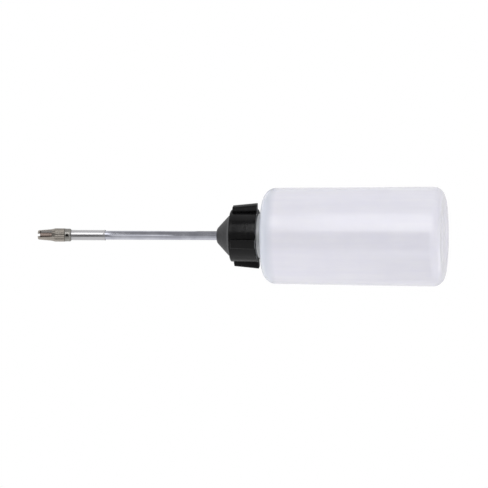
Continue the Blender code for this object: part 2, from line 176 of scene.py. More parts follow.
def swept(name, outline_at, angles):
    """A closed surface round the axis from the (radius, height) outline at each angle."""
    bm = bmesh.new()
    loops = [placed(bm, outline_at(angle), angle) for angle in angles]
    on_axis = [radius == 0 for radius, _ in outline_at(angles[0])]
    for loop, following in zip(loops, loops[1:] + loops[:1]):
        for i in range(len(loop)):
            j = (i + 1) % len(loop)
            if not (on_axis[i] and on_axis[j]):
                bm.faces.new((loop[i], following[i], following[j], loop[j]))
    return new_piece(name, bm)


def turned(name, outline, steps=96):
    """A round piece with the same outline at every angle."""
    return swept(name, lambda angle: outline, turn_angles(steps))


def thread_rise(angle, height, datum, first, last):
    """How far a thread stands off its wall there. Its middle passes the datum height at turn 0."""
    rise = 0.0
    turn = angle / math.tau + math.ceil(first - angle / math.tau)
    while turn <= last:
        depth = THREAD_DEPTH * min(1, min(turn - first, last - turn) / THREAD_RUN_OUT)
        off_middle = abs(height - datum - THREAD_PITCH * turn)
        flank = THREAD_DEPTH * math.tan(THREAD_FLANK)
        rise = max(rise, depth * smooth((ridge_half_width - off_middle) / flank))
        turn += 1
    return rise


mouth = heights("bottle_shell")[1]
neck_root = mouth - NECK_HEIGHT
neck_crest_radius = NECK_CORE_RADIUS + THREAD_DEPTH
ridge_half_width = (THREAD_PITCH / 2 - THREAD_PLAY + math.tan(THREAD_FLANK) * THREAD_DEPTH) / 2
neck_thread_start = neck_root + NECK_BEAD + THREAD_DEPTH + ridge_half_width
neck_thread_turns = (mouth - ridge_half_width - THREAD_PLAY - neck_thread_start) / THREAD_PITCH


def off_parting_line(radius, angle):
    """How far a point lies from the plane in which the mould halves meet."""
    return abs(radius * math.sin(angle))


def wall_sway(angle, height):
    """The gentle unevenness of a blown wall, none at the heel and the shoulder."""
    middle = math.sin(math.pi * min(1, max(0, (height - HEEL_RADIUS) / (BODY_HEIGHT - HEEL_RADIUS))))
    waves = sum(math.sin(count * angle + height / lean) for count, lean in SWAY_WAVES)
    return WALL_SWAY * middle * waves


def bottle_outline(angle):
    """From the middle of the base up the outside, over the lip and down the inside."""
    foot_outer = BASE_RADIUS - HEEL_RADIUS
    foot_inner = foot_outer - FOOT_WIDTH
    dish = foot_inner - DISH_WIDTH
    shoulder_centre = SHOULDER_RADIUS - SHOULDER_FILLET
    slope_end = math.pi / 2 - SHOULDER_SLOPE
    outer_shoulder = arc(shoulder_centre, BODY_HEIGHT, SHOULDER_FILLET, 0, slope_end)
    inner_shoulder = arc(shoulder_centre, BODY_HEIGHT, SHOULDER_FILLET - BOTTLE_WALL, 0, slope_end)
    slope_radius, slope_height = inner_shoulder[-1]
    bore_foot = slope_height + (slope_radius - NECK_BORE_RADIUS) * math.tan(SHOULDER_SLOPE)

    base = []
    for radius, _ in straight((0, 0), (foot_inner, 0), BASE_STEPS):
        off_seam = off_parting_line(radius, angle) / PINCH_HALF_WIDTH
        seam = PINCH_RISE * smooth(2 - 2 * off_seam) * smooth(PINCH_REACH - radius)
        base.append((radius, PUSH_UP * smooth((foot_inner - radius) / DISH_WIDTH) - seam))
    base.append((foot_inner, 0))
    heel = arc(foot_outer, HEEL_RADIUS, HEEL_RADIUS, -math.pi / 2, 0)
    wall = straight((BASE_RADIUS, HEEL_RADIUS), (SHOULDER_RADIUS, BODY_HEIGHT), WALL_STEPS)[1:]
    wall = [(r + wall_sway(angle, z), z) for r, z in wall]
    skin = [
        (r + PARTING_LINE_RISE * smooth(1.5 - off_parting_line(r, angle) / PARTING_LINE_HALF_WIDTH), z)
        for r, z in heel[UNLINED_STEPS:] + wall + outer_shoulder
    ]
    neck_foot = softened(
        [
            (*outer_shoulder[-1], 0),
            (neck_crest_radius, neck_root, 0.35),
            (neck_crest_radius, neck_root + NECK_BEAD, 0.15),
            (NECK_CORE_RADIUS, neck_root + NECK_BEAD + THREAD_DEPTH, 0.25),
            (NECK_CORE_RADIUS, mouth, 0),
        ]
    )[1:-1]
    neck_wall = straight(neck_foot[-1], (NECK_CORE_RADIUS, mouth - LIP_HEIGHT), NECK_STEPS)[1:]
    neck_wall = [
        (r + thread_rise(angle, z, neck_thread_start, 0, neck_thread_turns), z) for r, z in neck_wall
    ]
    lip = softened(
        [
            (NECK_CORE_RADIUS, mouth - LIP_HEIGHT, 0),
            (NECK_CORE_RADIUS, mouth, 0.25),
            (NECK_BORE_RADIUS, mouth, 0.25),
            (NECK_BORE_RADIUS, bore_foot, 0.6),
            (*inner_shoulder[-1], 0),
        ]
    )
    inner_foot = arc(foot_outer, HEEL_RADIUS, HEEL_RADIUS - BOTTLE_WALL, 0, -math.pi / 2)
    floor = [(foot_inner, BOTTLE_WALL), (dish, PUSH_UP + BOTTLE_WALL), (0, PUSH_UP + BOTTLE_WALL)]
    outside = base + heel[:UNLINED_STEPS] + skin + neck_foot + neck_wall
    return outside + lip[:-1] + inner_shoulder[::-1] + inner_foot + floor


def linear(hex_colour):
    """An sRGB hex colour as linear RGBA."""
    channels = [int(hex_colour[i : i + 2], 16) / 255 for i in (1, 3, 5)]
    return [c / 12.92 if c <= 0.04045 else ((c + 0.055) / 1.055) ** 2.4 for c in channels] + [1.0]


def add(tree, kind, inputs, out=None, **settings):
    """Adds a node with its settings and its inputs, by name or in order. Gives one output back."""
    node = tree.nodes.new("ShaderNode" + kind)
    for setting, value in settings.items():
        setattr(node, setting, value)
    sockets = [socket for socket in node.inputs if socket.enabled]
    if isinstance(inputs, dict):
        sockets = [next(s for s in sockets if s.name == name) for name in inputs]
        inputs = inputs.values()
    for socket, value in zip(sockets, inputs):
        if isinstance(value, bpy.types.NodeSocket):
            tree.links.new(value, socket)
        else:
            socket.default_value = value
    outputs = [socket for socket in node.outputs if socket.enabled]
    return next((s for s in outputs if out in (None, s.name)), None)


def bare_material(name):
    """A material with no nodes yet, and its node tree."""
    made = bpy.data.materials.new(name)
    made.use_nodes = True
    made.node_tree.nodes.clear()
    return made, made.node_tree


def stands_for(piece, node, finish):
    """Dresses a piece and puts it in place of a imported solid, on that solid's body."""
    record = frame["record"]
    piece.data.materials.append(finish)
    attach(piece, next(body for body, nodes in record["behaviour"]["bodies"].items() if node in nodes))
    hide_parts(node)


# Low-density polyethylene, blown against a fine matt mould: milky and faintly lilac, it lets light
# through its thin wall, and it shows cloudy thickness, draw lines along its length and a soft gloss.
# It dulls at the shoulder, and its colour greys there and on the neck. That greying is painted shade
# of the collar, which shades them and shows dark through the wall, with some real greying where the
# wall thickens. The heel and base are smooth, and a film of oil adds to the gloss.
MOTTLE = 9.0
DRAW_LINE = 1.8
ORANGE_PEEL = 1.1
SHOULDER_SHADE_START = BODY_HEIGHT - 1  # heights between which the painted shade on the shoulder sets in
SHOULDER_SHADE_END = BODY_HEIGHT + 2
SHOULDER_ROUGHNESS = 0.27
NECK_BLEND = 0.8  # over which the shoulder's painted shade turns to the neck's
NOISE_SPAN = (0.3, 0.7)  # values between which nearly all of a noise lies
NOISE_PRODUCT_SPAN = (0.12, 0.4)  # the same for two noises multiplied
milky, tree = bare_material("polyethylene_blow_moulded_milky")
place = add(tree, "TexCoord", {}, out="Object")
mottle = add(tree, "TexNoise", {"Vector": place, "Scale": 1 / (MOTTLE * MM), "Detail": 3.0})
along = add(tree, "VectorMath", [place, (1, 1, 0.05)], operation="MULTIPLY")
draw_lines = add(tree, "TexNoise", {"Vector": along, "Scale": 1 / (DRAW_LINE * MM), "Detail": 2.0})
cloud = add(tree, "Math", [mottle, draw_lines], operation="MULTIPLY")
cloud = add(tree, "MapRange", [cloud, *NOISE_PRODUCT_SPAN, 0.0, 1.0])
colour = add(tree, "Mix", [cloud, linear("#DFDEEA"), linear("#E3E2EC")], data_type="RGBA")
height = add(tree, "SeparateXYZ", [place], out="Z")
# painted shade: the shoulder greys towards the neck, under the collar
shoulder = add(tree, "MapRange", [height, SHOULDER_SHADE_START * MM, SHOULDER_SHADE_END * MM, 0.0, 1.0])
colour = add(tree, "Mix", [shoulder, colour, linear("#CDD0DA")], data_type="RGBA")
# painted shade: the neck is greyer where the collar shades it
neck = add(tree, "MapRange", [height, (neck_root - NECK_BLEND) * MM, neck_root * MM, 0.0, 1.0])
colour = add(tree, "Mix", [neck, colour, linear("#DADDE0")], data_type="RGBA")
roughness = add(tree, "MapRange", [draw_lines, *NOISE_SPAN, 0.19, 0.23])
roughness = add(tree, "Mix", [shoulder, roughness, SHOULDER_ROUGHNESS])
peel = add(tree, "TexNoise", {"Vector": place, "Scale": 1 / (ORANGE_PEEL * MM), "Detail": 1.0})
relief = add(tree, "Math", [peel, draw_lines], operation="ADD")
off_base = add(tree, "MapRange", [height, HEEL_RADIUS * MM, 2 * HEEL_RADIUS * MM, 0.0, 1.0])
relief = add(tree, "Math", [relief, off_base], operation="MULTIPLY")
bump = add(tree, "Bump", {"Strength": 0.12, "Distance": 0.02 * MM, "Height": relief})
shader = add(
    tree,
    "BsdfPrincipled",
    {
        "Base Color": colour,
        "Roughness": roughness,
        "IOR": 1.51,
        "Specular IOR Level": 0.8,
        "Normal": bump,
        "Subsurface Weight": 0.8,
        "Subsurface Radius": (1.0, 1.0, 1.1),
        "Subsurface Scale": 1.5 * MM,
    },
)
add(tree, "OutputMaterial", {"Surface": shader})

line_width_angle = PARTING_LINE_HALF_WIDTH / SHOULDER_RADIUS
line_angles = [
    side + line_width_angle * step / LINE_STEPS
    for side in (0, math.pi)
    for step in range(-2 * LINE_STEPS, 2 * LINE_STEPS + 1)
]
bottle = swept("bottle", bottle_outline, finer_turn(line_angles))
stands_for(bottle, "bottle_shell", milky)


# Mouth gasket
# Ring punched from closed-cell polyethylene foam. It lies under the cone's flange, round its plug,
# and the collar squeezes it on the bottle's mouth.

GASKET_BORE_RADIUS = 6.05
gasket_low, gasket_high = heights("mouth_gasket")
gasket = turned(
    "gasket",
    softened(
        [
            (GASKET_BORE_RADIUS, gasket_low, 0.08),
            (NECK_CORE_RADIUS, gasket_low, 0.15),
            (NECK_CORE_RADIUS, gasket_high, 0.15),
            (GASKET_BORE_RADIUS, gasket_high, 0.08),
        ]
    ),
)

# Closed-cell foam: off-white and matt, with cut cells a few tenths of a millimetre across.
FOAM_CELL = 0.35
foam, tree = bare_material("polyethylene_foam_cut")
place = add(tree, "TexCoord", {}, out="Object")
cells = add(tree, "TexVoronoi", {"Vector": place, "Scale": 1 / (FOAM_CELL * MM)})
colour = add(tree, "Mix", [cells, linear("#DAD6CC"), linear("#EDEAE2")], data_type="RGBA")
bump = add(tree, "Bump", {"Strength": 0.6, "Distance": 0.08 * MM, "Height": cells})
shader = add(
    tree, "BsdfPrincipled", {"Base Color": colour, "Roughness": 0.85, "IOR": 1.5, "Normal": bump}
)
add(tree, "OutputMaterial", {"Surface": shader})
stands_for(gasket, "mouth_gasket", foam)


# Spout cone
# Dark grey polypropylene moulding: a cone that carries the tube, the flange that the collar clamps
# and, below it, a plug that fits in the bottle's neck. Its cavity was spark-eroded, so it is matt.

CONE_RADIUS = 7.4
CONE_RIM = 0.7
CONE_HALF_ANGLE = math.radians(47.5)
CONE_TIP_RADIUS = 2.5
CONE_TIP_ROUNDING = 0.65
CONE_WALL = 1.5
FLANGE_RADIUS = 8.15
FLANGE_THICKNESS = 1.0
PLUG_RADIUS = 6.0
PLUG_BORE_RADIUS = 5.0
PLUG_LENGTH = 4.3
TUBE_BORE_IN_CONE = 1.7
FERRULE_RADIUS = 2.85
FERRULE_CLEARANCE = 0.3

collar_front = heights("screw_collar")[1]
plug_end, cone_top = heights("spout_cone")
flange_seat = plug_end + PLUG_LENGTH
cone_foot = collar_front + CONE_RIM
roof_radius = FERRULE_RADIUS + FERRULE_CLEARANCE
inner_cone_radius = CONE_RADIUS - CONE_WALL / math.cos(CONE_HALF_ANGLE)
cone_roof = cone_foot + (inner_cone_radius - roof_radius) / math.tan(CONE_HALF_ANGLE)
cone_slope_foot = cone_roof - (PLUG_BORE_RADIUS - roof_radius) / math.tan(CONE_HALF_ANGLE)
cone = turned(
    "cone",
    softened(
        [
            (PLUG_BORE_RADIUS, plug_end, 0.2),
            (PLUG_RADIUS, plug_end, 0.4),
            (PLUG_RADIUS, flange_seat, 0.15),
            (FLANGE_RADIUS, flange_seat, 0.15),
            (FLANGE_RADIUS, flange_seat + FLANGE_THICKNESS, 0.15),
            (CONE_RADIUS, flange_seat + FLANGE_THICKNESS, 0.1),
            (CONE_RADIUS, cone_foot, 0.35),
            (CONE_TIP_RADIUS, cone_top, CONE_TIP_ROUNDING),
            (TUBE_BORE_IN_CONE, cone_top, 0.12),
            (TUBE_BORE_IN_CONE, cone_roof, 0.1),
            (roof_radius, cone_roof, 0.2),
            (PLUG_BORE_RADIUS, cone_slope_foot, 0.3),
        ]
    ),
    FINE_TURN,
)

# Polypropylene from a spark-eroded cavity: a dull, evenly pitted grey skin, rubbed paler up to the
# edge of the rim. Real pits are about 0.1 mm across; they are drawn 0.9 mm across so that a few
# pixels can show them.
EROSION_PIT = 0.9
RUBBED_PAST_RIM = 0.15
dull_grey, tree = bare_material("polypropylene_spark_eroded_grey")
place = add(tree, "TexCoord", {}, out="Object")
pits = add(
    tree,
    "TexNoise",
    {"Vector": place, "Scale": 1 / (EROSION_PIT * MM), "Detail": 4.0, "Roughness": 0.65},
)
speckle = add(tree, "MapRange", [pits, *NOISE_SPAN, 0.0, 1.0])
colour = add(tree, "Mix", [speckle, linear("#0E0E10"), linear("#37373A")], data_type="RGBA")
height = add(tree, "SeparateXYZ", [place], out="Z")
rubbed_end = cone_foot + RUBBED_PAST_RIM
rubbed = add(tree, "MapRange", [height, rubbed_end * MM, cone_foot * MM, 0.0, 1.0])
colour = add(tree, "Mix", [rubbed, colour, linear("#5A5A5C")], data_type="RGBA")
roughness = add(tree, "MapRange", [pits, *NOISE_SPAN, 0.42, 0.66])
bump = add(tree, "Bump", {"Strength": 0.8, "Distance": 0.1 * MM, "Height": pits})
shader = add(
    tree,
    "BsdfPrincipled",
    {"Base Color": colour, "Roughness": roughness, "IOR": 1.49, "Normal": bump},
)
add(tree, "OutputMaterial", {"Surface": shader})
stands_for(cone, "spout_cone", dull_grey)


# Tube ferrule
# Turned brass bush crimped on the foot of the tube inside the cone, so that the tube can't pull out.

FERRULE_BORE_RADIUS = 1.7
CRIMP_DEPTH = 0.12
CRIMP_HALF_WIDTH = 0.5
ferrule_low, ferrule_high = heights("tube_ferrule")
ferrule_middle = (ferrule_low + ferrule_high) / 2
ferrule = turned(
    "ferrule",
    softened(
        [
            (FERRULE_BORE_RADIUS, ferrule_low, 0.05),
            (FERRULE_RADIUS, ferrule_low, 0.2),
            (FERRULE_RADIUS, ferrule_middle - CRIMP_HALF_WIDTH, 0.2),
            (FERRULE_RADIUS - CRIMP_DEPTH, ferrule_middle, 0.3),
            (FERRULE_RADIUS, ferrule_middle + CRIMP_HALF_WIDTH, 0.2),
            (FERRULE_RADIUS, ferrule_high, 0.2),
            (FERRULE_BORE_RADIUS, ferrule_high, 0.05),
        ]
    ),
)

# Turned free-cutting brass: yellow, with fine rings from the tool round the axis and a dulled film.
TOOL_FEED = 0.12
FILM_PATCH = 0.9
turned_brass, tree = bare_material("brass_turned")
place = add(tree, "TexCoord", {}, out="Object")
round_axis = add(tree, "VectorMath", [place, (0.02, 0.02, 1)], operation="MULTIPLY")
rings = add(tree, "TexNoise", {"Vector": round_axis, "Scale": 1 / (TOOL_FEED * MM), "Detail": 2.0})
film = add(tree, "TexNoise", {"Vector": place, "Scale": 1 / (FILM_PATCH * MM), "Detail": 3.0})
colour = add(tree, "Mix", [film, linear("#9C8446"), linear("#C2A766")], data_type="RGBA")
roughness = add(tree, "MapRange", [film, *NOISE_SPAN, 0.22, 0.42])
bump = add(tree, "Bump", {"Strength": 0.2, "Distance": 0.01 * MM, "Height": rings})
shader = add(
    tree,
    "BsdfPrincipled",
    {"Base Color": colour, "Metallic": 1.0, "Roughness": roughness, "Normal": bump},
)
add(tree, "OutputMaterial", {"Surface": shader})
stands_for(ferrule, "tube_ferrule", turned_brass)


# Spout tube
# Steel tube of 3.3 mm, drawn through a die and cut off square, pushed through the cone.

TUBE_RADIUS = 1.65
TUBE_BORE_RADIUS = 1.15
tube_low, tube_high = heights("spout_tube")
tube = turned(
    "tube",
    softened(
        [
            (TUBE_BORE_RADIUS, tube_low, 0.06),
            (TUBE_RADIUS, tube_low, 0.1),
            (TUBE_RADIUS, tube_high, 0.1),
            (TUBE_BORE_RADIUS, tube_high, 0.06),
        ]
    ),
)

# Drawn steel: bluish grey with lines along the tube from the die and patches of duller skin. Real
# lines are hundredths of a millimetre wide; they are drawn 0.3 mm wide so that they show.
DIE_LINE = 0.3
SKIN_PATCH = 3.0
drawn_steel, tree = bare_material("steel_drawn_dull")
place = add(tree, "TexCoord", {}, out="Object")
along = add(tree, "VectorMath", [place, (1, 1, 0.02)], operation="MULTIPLY")
die_lines = add(tree, "TexNoise", {"Vector": along, "Scale": 1 / (DIE_LINE * MM), "Detail": 3.0})
skin = add(tree, "TexNoise", {"Vector": place, "Scale": 1 / (SKIN_PATCH * MM), "Detail": 3.0})
shade = add(tree, "Math", [die_lines, skin], operation="MULTIPLY")
shade = add(tree, "MapRange", [shade, *NOISE_PRODUCT_SPAN, 0.0, 1.0])
colour = add(tree, "Mix", [shade, linear("#AAABB5"), linear("#C2C3CC")], data_type="RGBA")
roughness = add(tree, "MapRange", [skin, *NOISE_SPAN, 0.06, 0.1])
bump = add(tree, "Bump", {"Strength": 0.3, "Distance": 0.02 * MM, "Height": die_lines})
shader = add(
    tree,
    "BsdfPrincipled",
    {"Base Color": colour, "Metallic": 1.0, "Roughness": roughness, "Normal": bump},
)
add(tree, "OutputMaterial", {"Surface": shader})
stands_for(tube, "spout_tube", drawn_steel)


# Screw collar
# Black polypropylene ring, moulded with an inner thread and four grip lugs that widen to the rear.
# Its front lip draws the cone's flange down on the bottle's mouth.

COLLAR_RADIUS = 9.5
COLLAR_BORE_RADIUS = 8.35
COLLAR_FLARE = 0.2
COLLAR_LIP = 1.6
LIP_BORE_RADIUS = 7.6
LUG_COUNT = 4
LUG_HALF_WIDTH = math.radians(8.5)
LUG_TURN = math.radians(-106.5)  # from +X to the first lug
LUG_FRONT_PROUD = 1.8
LUG_REAR_PROUD = 2.5
LUG_SETBACK = 1.0
LUG_FRONT_SLOPE = 0.25
LUG_FLANK = math.radians(0.4)  # over which a lug's side rises
LUG_EDGE = math.radians(2)  # over which its edges are rounded
LUG_EDGE_DROP = 0.2  # share of its height that the rounding takes
LUG_EDGE_STEPS = 8
COLLAR_BORE_STEPS = 72

collar_rear = heights("screw_collar")[0]
collar_thread_low = collar_rear + ridge_half_width + THREAD_PLAY
collar_thread_datum = neck_thread_start + THREAD_PITCH / 2
collar_thread_first = (collar_thread_low - collar_thread_datum) / THREAD_PITCH
collar_thread_last = collar_thread_first + (mouth - ridge_half_width - collar_thread_low) / THREAD_PITCH


def lug_share(angle):
    """1 on a lug, 0 between lugs."""
    step = math.tau / LUG_COUNT
    off_middle = abs((angle - LUG_TURN + step / 2) % step - step / 2)
    past_edge = min(1.0, max(0.0, 1 + (off_middle - LUG_HALF_WIDTH) / LUG_EDGE))
    rounding = 1 - LUG_EDGE_DROP * (1 - math.sqrt(1 - past_edge**2))
    return rounding * min(1.0, max(0.0, 1 - (off_middle - LUG_HALF_WIDTH) / LUG_FLANK))


def collar_outline(angle):
    """From the rear edge up the outside, in over the lip and down the threaded bore."""
    lug = lug_share(angle)
    lip_seat = collar_front - COLLAR_LIP
    lug_front = collar_front - LUG_SETBACK
    outside = softened(
        [
            (COLLAR_BORE_RADIUS, collar_rear, 0.12),
            (COLLAR_RADIUS + COLLAR_FLARE + lug * LUG_REAR_PROUD, collar_rear, 0.14),
            (COLLAR_RADIUS + lug * LUG_FRONT_PROUD, lug_front, 0.13),
            (COLLAR_RADIUS, lug_front + LUG_FRONT_SLOPE, 0.06),
            (COLLAR_RADIUS, collar_front, 0.4),
            (LIP_BORE_RADIUS, collar_front, 0.15),
            (LIP_BORE_RADIUS, lip_seat, 0.1),
            (COLLAR_BORE_RADIUS, lip_seat, 0.2),
        ]
    )
    bore_top = outside[-1]
    bore_foot = (COLLAR_BORE_RADIUS, outside[0][1])
    bore = straight(bore_top, bore_foot, COLLAR_BORE_STEPS)[1:]
    bore = [
        (r - thread_rise(angle, z, collar_thread_datum, collar_thread_first, collar_thread_last), z)
        for r, z in bore
    ]
    return outside + bore


lug_edge = [
    LUG_HALF_WIDTH - LUG_EDGE * (1 - math.sin(math.pi / 2 * step / LUG_EDGE_STEPS))
    for step in range(LUG_EDGE_STEPS + 1)
]
lug_flanks = [
    LUG_TURN + math.tau * lug / LUG_COUNT + side * off_middle
    for lug in range(LUG_COUNT)
    for side in (-1, 1)
    for off_middle in lug_edge + [LUG_HALF_WIDTH + LUG_FLANK]
]
collar = swept("collar", collar_outline, finer_turn(lug_flanks))

# Polypropylene coloured with carbon black, from a turned and stoned cavity: nearly black with a
# satin gloss, faint flow marks, and rings round the axis from the tool. The rings are drawn 1.1 mm
# apart and the grain of the stone 0.4 mm across, coarser than real, so that they show.
FLOW_MARK = 2.4
TURNED_MARK = 1.1
STONED_GRAIN = 0.4
satin_black, tree = bare_material("polypropylene_satin_black")
place = add(tree, "TexCoord", {}, out="Object")
flow = add(
    tree,
    "TexNoise",
    {"Vector": place, "Scale": 1 / (FLOW_MARK * MM), "Detail": 3.0, "Distortion": 0.6},
)
grain = add(tree, "TexNoise", {"Vector": place, "Scale": 1 / (STONED_GRAIN * MM), "Detail": 2.0})
round_axis = add(tree, "VectorMath", [place, (0.12, 0.12, 1)], operation="MULTIPLY")
marks = add(tree, "TexNoise", {"Vector": round_axis, "Scale": 1 / (TURNED_MARK * MM), "Detail": 2.0})
colour = add(tree, "Mix", [flow, linear("#050506"), linear("#0D0C0E")], data_type="RGBA")
roughness = add(tree, "MapRange", [marks, *NOISE_SPAN, 0.14, 0.28])
bump = add(tree, "Bump", {"Strength": 0.25, "Distance": 0.02 * MM, "Height": grain})
bump = add(tree, "Bump", {"Strength": 0.6, "Distance": 0.03 * MM, "Height": marks, "Normal": bump})
shader = add(
    tree,
    "BsdfPrincipled",
    {
        "Base Color": colour,
        "Roughness": roughness,
        "IOR": 1.49,
        "Specular IOR Level": 0.22,
        "Normal": bump,
    },
)
add(tree, "OutputMaterial", {"Surface": shader})
stands_for(collar, "screw_collar", satin_black)


# Tip sleeve
# Polished steel sleeve pushed over the end of the tube. Its rear edge is rolled in, and in front it
# holds the seat and the chamber of the check valve.

SLEEVE_RADIUS = 1.87
SLEEVE_SOCKET_RADIUS = 1.7
SLEEVE_SOCKET_DEPTH = 6.2
BEAD_PROUD = 0.08
BEAD_LENGTH = 0.35
BEAD_END = 0.5  # where the bead has run out
SEAT_BORE_RADIUS = 0.7
SEAT_LAND = 0.8
SEAT_DEPTH = 0.5
CHAMBER_RADIUS = 1.25

sleeve_rear, sleeve_front = heights("tip_sleeve")
socket_floor = sleeve_rear + SLEEVE_SOCKET_DEPTH
sleeve = turned(
    "sleeve",
    softened(
        [
            (SLEEVE_SOCKET_RADIUS, sleeve_rear, 0.04),
            (SLEEVE_RADIUS + BEAD_PROUD, sleeve_rear, 0.1),
            (SLEEVE_RADIUS + BEAD_PROUD, sleeve_rear + BEAD_LENGTH, 0.06),
            (SLEEVE_RADIUS, sleeve_rear + BEAD_END, 0.06),
            (SLEEVE_RADIUS, sleeve_front, 0.08),
            (CHAMBER_RADIUS, sleeve_front, 0.08),
            (CHAMBER_RADIUS, socket_floor + SEAT_LAND + SEAT_DEPTH, 0.05),
            (SEAT_BORE_RADIUS, socket_floor + SEAT_LAND, 0.05),
            (SEAT_BORE_RADIUS, socket_floor, 0.05),
            (SLEEVE_SOCKET_RADIUS, socket_floor, 0.1),
        ]
    ),
)

# Polished steel: a bright mirror with hairlines along the sleeve from handling. The hairlines are
# drawn 0.4 mm apart, coarser than real, so that they show.
HAIRLINE = 0.4
bright_steel, tree = bare_material("steel_polished")
place = add(tree, "TexCoord", {}, out="Object")
along = add(tree, "VectorMath", [place, (1, 1, 0.05)], operation="MULTIPLY")
hairlines = add(tree, "TexNoise", {"Vector": along, "Scale": 1 / (HAIRLINE * MM), "Detail": 3.0})
colour = add(tree, "Mix", [hairlines, linear("#B0AFB2"), linear("#BEBDBF")], data_type="RGBA")
roughness = add(tree, "MapRange", [hairlines, *NOISE_SPAN, 0.07, 0.15])
bump = add(tree, "Bump", {"Strength": 0.15, "Distance": 0.01 * MM, "Height": hairlines})
shader = add(
    tree,
    "BsdfPrincipled",
    {"Base Color": colour, "Metallic": 1.0, "Roughness": roughness, "Normal": bump},
)
add(tree, "OutputMaterial", {"Surface": shader})
stands_for(sleeve, "tip_sleeve", bright_steel)


# Sleeve washer
# Nitrile rubber ring at the bottom of the sleeve's socket, which the tube's end presses on.

SLEEVE_WASHER_BORE_RADIUS = 1.05
SEAL_EDGE = 0.1
SMALL_TURN = 64  # steps round the smallest pieces


def seal_ring(name, node, bore_radius, radius):
    """A moulded ring with rounded edges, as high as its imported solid."""
    low, high = heights(node)
    corners = [(bore_radius, low), (radius, low), (radius, high), (bore_radius, high)]
    return turned(name, softened([(*corner, SEAL_EDGE) for corner in corners]), SMALL_TURN)


# Nitrile rubber: black and matt, with fine specks of bloom.
BLOOM = 0.2
rubber, tree = bare_material("nitrile_rubber_moulded")
place = add(tree, "TexCoord", {}, out="Object")
bloom = add(tree, "TexNoise", {"Vector": place, "Scale": 1 / (BLOOM * MM), "Detail": 3.0})
colour = add(tree, "Mix", [bloom, linear("#161616"), linear("#262524")], data_type="RGBA")
bump = add(tree, "Bump", {"Strength": 0.3, "Distance": 0.01 * MM, "Height": bloom})
shader = add(
    tree, "BsdfPrincipled", {"Base Color": colour, "Roughness": 0.75, "IOR": 1.52, "Normal": bump}
)
add(tree, "OutputMaterial", {"Surface": shader})

sleeve_seal = seal_ring("sleeve_seal", "sleeve_washer", SLEEVE_WASHER_BORE_RADIUS, TUBE_RADIUS)
stands_for(sleeve_seal, "sleeve_washer", rubber)


# Check ball
# Bearing ball of polished steel, which the spring holds on its conical seat in the sleeve.

BALL_RADIUS = 1.0
ball_low, ball_high = heights("check_ball")
bm = bmesh.new()
bmesh.ops.create_icosphere(bm, subdivisions=4, radius=BALL_RADIUS * MM)
bmesh.ops.translate(bm, verts=bm.verts, vec=(0, 0, (ball_low + ball_high) / 2 * MM))
ball = new_piece("ball", bm)
stands_for(ball, "check_ball", bright_steel)


# Check spring
# Coil of drawn steel wire between the ball and the nozzle body. Its front end stays put and the rest
# closes up as the ball lifts.

WIRE_RADIUS = 0.1
COIL_RADIUS = 0.9
COIL_TURNS = 4
COIL_STEPS = 32
WIRE_STEPS = 12
spring_low, spring_high = heights("check_spring")
coil_foot = spring_low + WIRE_RADIUS
coil_rise = spring_high - WIRE_RADIUS - coil_foot

bm = bmesh.new()
wire = []
for step in range(COIL_TURNS * COIL_STEPS + 1):
    height = coil_foot + coil_rise * step / (COIL_TURNS * COIL_STEPS)
    section = arc(COIL_RADIUS, height, WIRE_RADIUS, 0, math.tau, WIRE_STEPS)[:-1]
    wire.append(placed(bm, section, math.tau * step / COIL_STEPS))
for ring, following in zip(wire, wire[1:]):
    for i in range(WIRE_STEPS):
        j = (i + 1) % WIRE_STEPS
        bm.faces.new((ring[i], ring[j], following[j], following[i]))
bm.faces.new(wire[0])
bm.faces.new(wire[-1])
spring = new_piece("spring", bm)
stands_for(spring, "check_spring", drawn_steel)
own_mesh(spring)


# Nozzle body
# Turned steel holder pressed into the sleeve. Four blind holes round it take a tommy pin, and the
# nozzle tip screws on its front stub.

SPIGOT_RADIUS = 1.2
SPIGOT_LENGTH = 1.4
SPIGOT_BORE_RADIUS = 0.7
BODY_RADIUS = 2.38
BODY_LENGTH = 2.2
BODY_CHAMFER = 0.4
STUB_RADIUS = 1.45
JET_SOCKET_RADIUS = 0.95
JET_END_PLAY = 0.1
PIN_HOLE_COUNT = 4
PIN_HOLE_RADIUS = 0.5
PIN_HOLE_DEPTH = 1.0


def cut(piece, cutter):
    """Takes a cutter's shape out of a piece and deletes the cutter."""
    boolean = piece.modifiers.new("cut", "BOOLEAN")
    boolean.object = cutter
    evaluated = piece.evaluated_get(bpy.context.evaluated_depsgraph_get())
    shaped = bpy.data.meshes.new_from_object(evaluated)
    piece.modifiers.clear()
    piece.data = shaped
    shaped.set_sharp_from_angle(angle=SHARP_EDGE)
    bpy.data.objects.remove(cutter)


holder_rear, stub_front = heights("nozzle_body")
body_rear = holder_rear + SPIGOT_LENGTH
body_front = body_rear + BODY_LENGTH
jet_step = heights("jet_tube")[0] - JET_END_PLAY
holder = turned(
    "holder",
    softened(
        [
            (SPIGOT_BORE_RADIUS, holder_rear, 0.05),
            (SPIGOT_RADIUS, holder_rear, 0.1),
            (SPIGOT_RADIUS, body_rear, 0.03),
            (BODY_RADIUS - BODY_CHAMFER, body_rear, 0.06),
            (BODY_RADIUS, body_rear + BODY_CHAMFER, 0.1),
            (BODY_RADIUS, body_front, 0.1),
            (STUB_RADIUS, body_front, 0.05),
            (STUB_RADIUS, stub_front, 0.15),
            (JET_SOCKET_RADIUS, stub_front, 0.05),
            (JET_SOCKET_RADIUS, jet_step, 0.03),
            (SPIGOT_BORE_RADIUS, jet_step, 0.05),
        ]
    ),
)
pin_height = (body_rear + BODY_CHAMFER + body_front) / 2
pin_holes = bmesh.new()
